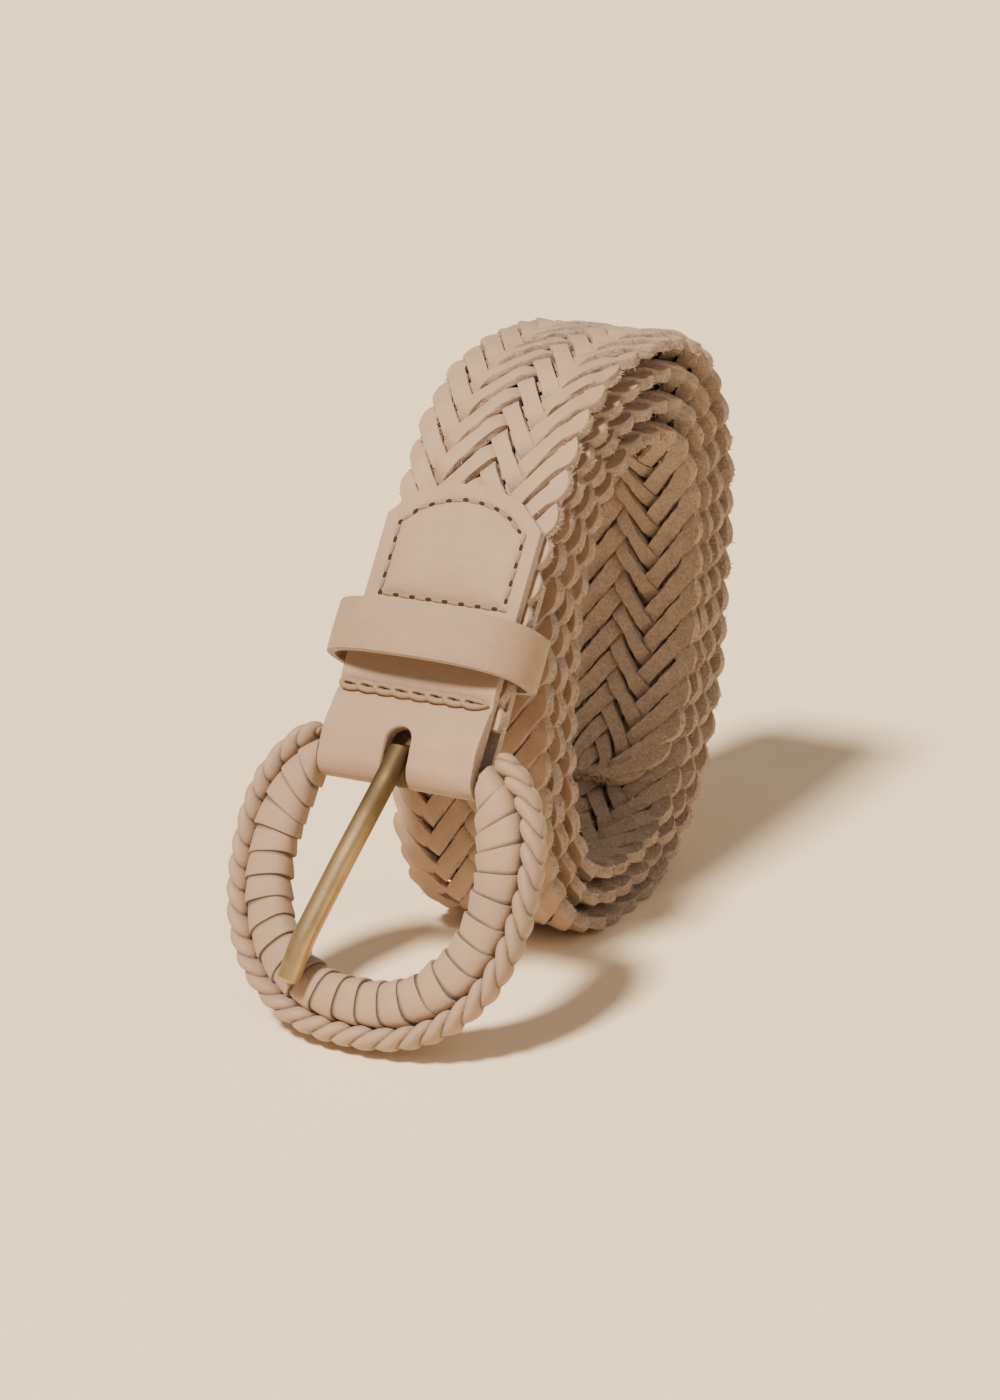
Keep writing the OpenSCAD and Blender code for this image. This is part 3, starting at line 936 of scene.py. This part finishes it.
def scatter_units(name, marks, face, unit, material):
    """Copies of unit at marks on the tab's face, as a plain mesh object."""
    lean = tab_lean()
    carrier = bpy.data.meshes.new(name + "_marks")
    places = at_bar(np.array([(x, face, h) for x, h, _ in marks]), lean)
    carrier.from_pydata([tuple(p) for p in places], [], [])
    basis = Matrix.Rotation(-lean, 3, "X")
    turns = carrier.attributes.new("turn", "FLOAT_VECTOR", "POINT")
    values = []
    for _, _, a in marks:
        along = Vector((math.cos(a), 0, math.sin(a)))
        out = Vector((0, -1, 0))
        across = along.cross(out)
        own = Matrix((out, across, along)).transposed()
        if own.determinant() < 0:
            own = Matrix((out, -across, along)).transposed()
        values.extend((basis @ own).to_euler())
    turns.data.foreach_set("vector", values)
    obj = bpy.data.objects.new(name, carrier)
    bpy.context.scene.collection.objects.link(obj)
    tree = Scatter(name + "_set", Unit=("Object", unit), Size=("Float", 1.0), Finish=("Material", material))
    turn = tree.node("GeometryNodeInputNamedAttribute", {"data_type": "FLOAT_VECTOR"}, {"Name": "turn"})
    euler = tree.node("FunctionNodeEulerToRotation", None, {"Euler": turn["Attribute"]})
    tree.run(obj, unit, tree.entry["Geometry"], euler["Rotation"], tree.entry["Size"])
    obj.data.shade_smooth()
    return obj


# ---------------------------------------------------------------- buckle

def ring_edges(z, q):
    """Inner and outer edge of the wrapped band at q from 0 to 1, left end to right end."""
    a_in = z.ring_half - z.rim_w - z.band_w
    low_in = z.ring_low - z.rim_w - z.band_w
    a_out, low_out, up_out = (z.ring_half - z.rim_w, z.ring_low - z.rim_w, z.ring_up - z.rim_w)
    window = z.tab_w / 2 + z.tab_gap
    power = 2 / z.ring_power
    arm = 0.14
    mirror = q > 0.5
    p = np.where(mirror, 1 - q, q)
    low = np.clip((p - arm) / (0.5 - arm), 0, 1) * np.pi / 2
    up = np.clip((arm - p) / arm, 0, 1)
    on_arm = p < arm
    inner_x = np.where(on_arm, a_in + (window - a_in) * up, a_in * np.cos(low) ** power)
    inner_z = np.where(on_arm, -z.ring_mid + up * (z.ring_mid - 0.0030),
                       -z.ring_mid - low_in * np.sin(low) ** power)
    limit = math.acos(((window + 0.0006) / a_out) ** (1 / power))
    outer_x = a_out * np.cos(np.where(on_arm, up * limit, low)) ** power
    outer_z = np.where(on_arm, -z.ring_mid + up_out * np.sin(up * limit) ** power,
                       -z.ring_mid - low_out * np.sin(low) ** power)
    side = np.where(mirror, 1, -1)
    return (np.stack([side * inner_x, inner_z], -1), np.stack([side * outer_x, outer_z], -1))


class BELT_OT_ring(bpy.types.Operator):
    """Make the lace wound round the ring and the plaited rim"""
    bl_idname = "belt.ring"
    bl_label = "Ring"

    def execute(self, context):
        z = sizes()
        lean = ring_lean(z)
        q = np.linspace(0, 1, 1200)
        inner, outer = ring_edges(z, q)
        mid = (inner + outer) / 2
        s = np.concatenate([[0], np.cumsum(np.linalg.norm(np.diff(mid, axis=0), axis=1))])
        count = int(round(s[-1] / z.wrap_pitch))
        rng = np.random.default_rng(5)
        # Each wrap's profile: share along the wrap, lift, and painted shade; the painted shade at the foot
        # of each step stands in for the shadow under the wrap above.
        profile = ((0.012, 0.02, 0.9), (0.16, 0.30, 0.0), (0.50, 0.66, 0.0), (0.88, 1.0, 0.0),
                   (0.965, 0.93, 0.0), (0.985, 0.55, 0.35), (0.995, -0.05, 1.0))
        section = np.linspace(0, 2 * math.pi, 40, endpoint=False)
        rings, rough, seam_shades = [], [], []
        for i in range(count):
            lift = 0.00050 * rng.uniform(0.7, 1.3)
            skew = rng.uniform(-0.10, 0.10)
            flare = rng.uniform(0.0, 0.6)
            for f, v, dark in profile:
                ring = []
                for a in section:
                    cx, cy = math.cos(a), math.sin(a)
                    at = min(max((i + f + skew * cx + 0.10 * cy) / count * s[-1], 0), s[-1])
                    ni, no = ring_edges(z, np.array([np.interp(at, s, q)]))
                    c, h = (ni[0] + no[0]) / 2, (no[0] - ni[0]) / 2
                    wide = 0.965 + lift * v * (1 + flare * (cx < -0.3)) / (z.band_w / 2)
                    thick = z.ring_t / 2 - 0.00042 + lift * v
                    px = c + h * wide * signed_power(cx, 0.78)
                    ring.append((px[0], thick * signed_power(cy, 0.74), px[1]))
                rings.append(ring)
                rough.append([0.75 if f == 0.985 else 0.0] * len(section))
                seam_shades.append([dark] * len(section))
        verts, faces = loft(np.array(rings))
        wrap = new_piece("ring_lace", at_bar(verts, lean), faces, np.ravel(rough), 45, seam=np.ravel(seam_shades))
        finish_piece(wrap, "buckle", "leather", materials()["lace_leather"], "lace_wrap")
        make_rim(z, lean)
        frame_node = frame["nodes"]["buckle_frame"]
        frame_node.data.materials.clear()
        frame_node.data.materials.append(materials()["aged_brass"])
        return {"FINISHED"}


def rim_line(z, count):
    """The middle of the plaited rim, evenly spaced, as [x, height]."""
    power = 2 / z.ring_power
    window = z.tab_w / 2 + z.tab_gap
    a = z.ring_half - z.rim_w / 2
    limit = math.acos(((window + 0.002) / a) ** (1 / power))
    t = np.linspace(math.pi - limit, 2 * math.pi + limit, 2000)
    c, s = np.cos(t), np.sin(t)
    tall = np.where(s > 0, z.ring_up, z.ring_low) - z.rim_w / 2
    line = np.stack([a * signed_power(c, power), -z.ring_mid + tall * signed_power(s, power)], -1)
    run = np.concatenate([[0], np.cumsum(np.linalg.norm(np.diff(line, axis=0), axis=1))])
    at = np.linspace(0, run[-1], count)
    return np.stack([np.interp(at, run, line[:, 0]), np.interp(at, run, line[:, 1])], -1), run[-1]


# Pitch of the rim's lobes along its middle
LOBE_PITCH = 0.0049


def make_rim(z, lean):
    """The fat lace whipped round the ring's outer edge, each turn a slanted lobe over the next."""
    count = 1500
    line, run = rim_line(z, count)
    way = np.gradient(line, axis=0)
    way /= np.linalg.norm(way, axis=1)[:, None]
    out = np.stack([way[:, 1], -way[:, 0]], -1)
    travel = np.linspace(0, run / LOBE_PITCH, count)
    travel = travel + 0.10 * wander(40, int(run / LOBE_PITCH) + 3, travel)
    plump = 1 + 0.06 * wander(41, int(run / LOBE_PITCH) + 3, travel)
    reach = np.minimum(travel - travel[0], travel[-1] - travel)
    close = np.sqrt(1 - (1 - np.clip(reach / 0.8, 0.02, 1)) ** 2)
    rings, seam_shades = [], []
    for a in np.linspace(0, 2 * math.pi, 44, endpoint=False):
        turned = (a + math.pi) % (2 * math.pi) - math.pi
        slant = 0.95 * math.cos(a) + 0.15 * math.cos(2 * a)
        f = (travel + slant * (1 if turned <= 0 else -1) * 0.5) % 1.0
        swell = np.sin(np.pi * f ** 1.35) ** 0.55
        depth = (0.64 + 0.36 * swell * plump) * close
        across = z.rim_w / 2 * 1.02 * signed_power(math.cos(a), 0.95) * depth
        tall = z.rim_t / 2 * 1.02 * signed_power(math.sin(a), 0.95) * depth
        rings.append(np.stack([line[:, 0] + out[:, 0] * across, tall, line[:, 1] + out[:, 1] * across], -1))
        # Painted shade between the lobes, darkest where a lobe is thinnest, standing in for the shadow in
        # the gaps.
        seam_shades.append(np.clip(1 - swell * 2.2, 0, 1) * 0.9)
    verts, faces = loft(at_bar(np.stack(rings, 1), lean))
    rim = new_piece("rim_laces", verts, faces, np.zeros(len(verts)), 60, seam=np.stack(seam_shades, 1).ravel())
    finish_piece(rim, "buckle", "leather", materials()["lace_leather"], "rim_plait")


# ---------------------------------------------------------------- prong

class BELT_OT_prong(bpy.types.Operator):
    """Make the brass prong and its eye"""
    bl_idname = "belt.prong"
    bl_label = "Prong"

    def execute(self, context):
        z = sizes()
        lean = ring_lean(z)
        eye_r = z.bar_r + 0.00005 + z.eye_t
        lie = -(z.ring_t / 2 + z.prong_gap + z.prong_r)
        slope = z.prong_side / z.prong_reach
        knee_reach = z.prong_reach - z.prong_tip
        corners = np.array([
            (0, -eye_r + z.prong_r * 0.55, z.prong_r * 1.2), (0, lie - 0.0001, -eye_r * 0.9),
            (-slope * knee_reach * 0.5, lie - z.prong_arch * 0.75, -knee_reach * 0.55),
            (-slope * knee_reach, lie - z.prong_arch, -knee_reach),
            (-z.prong_side, lie - 0.0002, -z.prong_reach - 0.0008)])
        run = np.concatenate([[0], np.cumsum(np.linalg.norm(np.diff(corners, axis=0), axis=1))])
        at = np.linspace(0, run[-1], 160)
        path = np.stack([np.interp(at, run, corners[:, i]) for i in range(3)], -1)
        for _ in range(45):
            path[1:-1] = (path[:-2] + 2 * path[1:-1] + path[2:]) / 4
        forward = np.gradient(path, axis=0)
        forward /= np.linalg.norm(forward, axis=1)[:, None]
        side = np.cross(forward, np.array([0, -1.0, 0]))
        side /= np.linalg.norm(side, axis=1)[:, None]
        lift = np.cross(side, forward)
        t = at / run[-1]
        dome = np.sqrt(np.clip(1 - ((t - 0.985) / 0.0155) ** 2, 0.02, 1))
        radius = z.prong_r * (0.94 + 0.06 * t) * np.where(t > 0.985, dome, 1)
        rings = np.stack([path + side * (radius * signed_power(math.cos(b), 0.86))[:, None]
                          + lift * (radius * 0.9 * signed_power(math.sin(b), 0.86))[:, None]
                          for b in np.linspace(0, 2 * math.pi, 24, endpoint=False)], 1)
        rod = loft(rings)
        inner, wide = z.bar_r + 0.00005, z.eye_w / 2
        section = [(inner, -wide), (inner, wide)]
        for b in np.linspace(math.pi / 2, -math.pi / 2, 13):
            section.append((inner + z.eye_t * (0.35 + 0.65 * math.cos(b)), wide * math.sin(b)))
        eye_rings = [[(x, -r * math.cos(a), r * math.sin(a)) for r, x in section]
                     for a in np.linspace(0, 2 * math.pi, 48, endpoint=False)]
        verts, faces = merge([rod, loft(np.array(eye_rings), closed=True)])
        prong = new_piece("prong_brass", at_bar(verts, lean), faces, None, 50)
        finish_piece(prong, "prong", "brass", materials()["aged_brass"], "prong")
        return {"FINISHED"}


# ---------------------------------------------------------------- stage

class BELT_OT_stage(bpy.types.Operator):
    """Make the floor, the lights and the camera"""
    bl_idname = "belt.stage"
    bl_label = "Stage"

    def execute(self, context):
        mesh = bpy.data.meshes.new("floor")
        corners = [(x, y, -0.0003) for x, y in ((-4, -4), (4, -4), (4, 4), (-4, 4))]
        mesh.from_pydata(corners, [], [(0, 1, 2, 3)])
        floor = bpy.data.objects.new("floor", mesh)
        context.scene.collection.objects.link(floor)
        m = Finish("floor_paint")
        m.shade(Base_Color=(*finish_colours().floor, 1), Roughness=0.75, Specular_IOR_Level=0.2)
        mesh.materials.append(m.material)
        world = bpy.data.worlds.new("studio")
        context.scene.world = world
        world.use_nodes = True
        back = world.node_tree.nodes["Background"]
        back.inputs[0].default_value = (1.0, 0.87, 0.73, 1)
        back.inputs[1].default_value = 0.30
        add_sun("key", (-0.14, -0.72, 1.15), 6.6, 10.0, (1.0, 0.90, 0.77))
        add_sun("fill", (0.85, -0.30, 0.75), 0.5, 40.0, (1.0, 0.92, 0.82))
        add_camera(azimuth=31.1, elevation=20.4, distance=0.715,
                   target=(0.0073, -0.0297, 0.0577), roll=-2.8, lens=90.0)
        return {"FINISHED"}


def add_sun(name, toward, power, spread, colour):
    """A soft distant light that shines from the given direction."""
    data = bpy.data.lights.new(name, "SUN")
    data.angle = math.radians(spread)
    data.energy = power
    data.color = colour
    lamp = bpy.data.objects.new(name, data)
    lamp.location = Vector(toward)
    lamp.rotation_euler = (-Vector(toward)).to_track_quat("-Z", "Y").to_euler()
    bpy.context.scene.collection.objects.link(lamp)


def add_camera(azimuth, elevation, distance, target, roll, lens):
    a, e = math.radians(azimuth), math.radians(elevation)
    back = Vector((math.sin(a) * math.cos(e), -math.cos(a) * math.cos(e), math.sin(e)))
    data = bpy.data.cameras.new("camera")
    data.lens = lens
    data.sensor_width = 36.0
    data.clip_start = 0.01
    camera = bpy.data.objects.new("camera", data)
    camera.location = Vector(target) + back * distance
    turn = (-back).to_track_quat("-Z", "Y").to_matrix() @ Matrix.Rotation(math.radians(roll), 3, "Z")
    camera.rotation_euler = turn.to_euler()
    bpy.context.scene.collection.objects.link(camera)
    bpy.context.scene.camera = camera


# ---------------------------------------------------------------- add-on

STEPS = (BELT_OT_plait, BELT_OT_tab, BELT_OT_keeper, BELT_OT_stitches, BELT_OT_ring,
         BELT_OT_prong, BELT_OT_stage)


class BELT_PT_panel(bpy.types.Panel):
    """Buttons that build the belt"""
    bl_idname = "BELT_PT_panel"
    bl_label = "Plaited Belt"
    bl_space_type = "VIEW_3D"
    bl_region_type = "UI"
    bl_category = "Belt"

    def draw(self, context):
        for step in STEPS:
            self.layout.operator(step.bl_idname)


CLASSES = (BeltSizes, BeltFinish, *STEPS, BELT_PT_panel)


def register():
    for item in CLASSES:
        bpy.utils.register_class(item)
    bpy.types.Scene.belt_sizes = bpy.props.PointerProperty(type=BeltSizes)
    bpy.types.Scene.belt_finish = bpy.props.PointerProperty(type=BeltFinish)


def unregister():
    del bpy.types.Scene.belt_finish
    del bpy.types.Scene.belt_sizes
    for item in reversed(CLASSES):
        bpy.utils.unregister_class(item)


def main():
    register()
    bpy.ops.belt.plait()
    bpy.ops.belt.tab()
    bpy.ops.belt.keeper()
    bpy.ops.belt.stitches()
    bpy.ops.belt.ring()
    bpy.ops.belt.prong()
    bpy.ops.belt.stage()


if __name__ == "__main__":
    main()
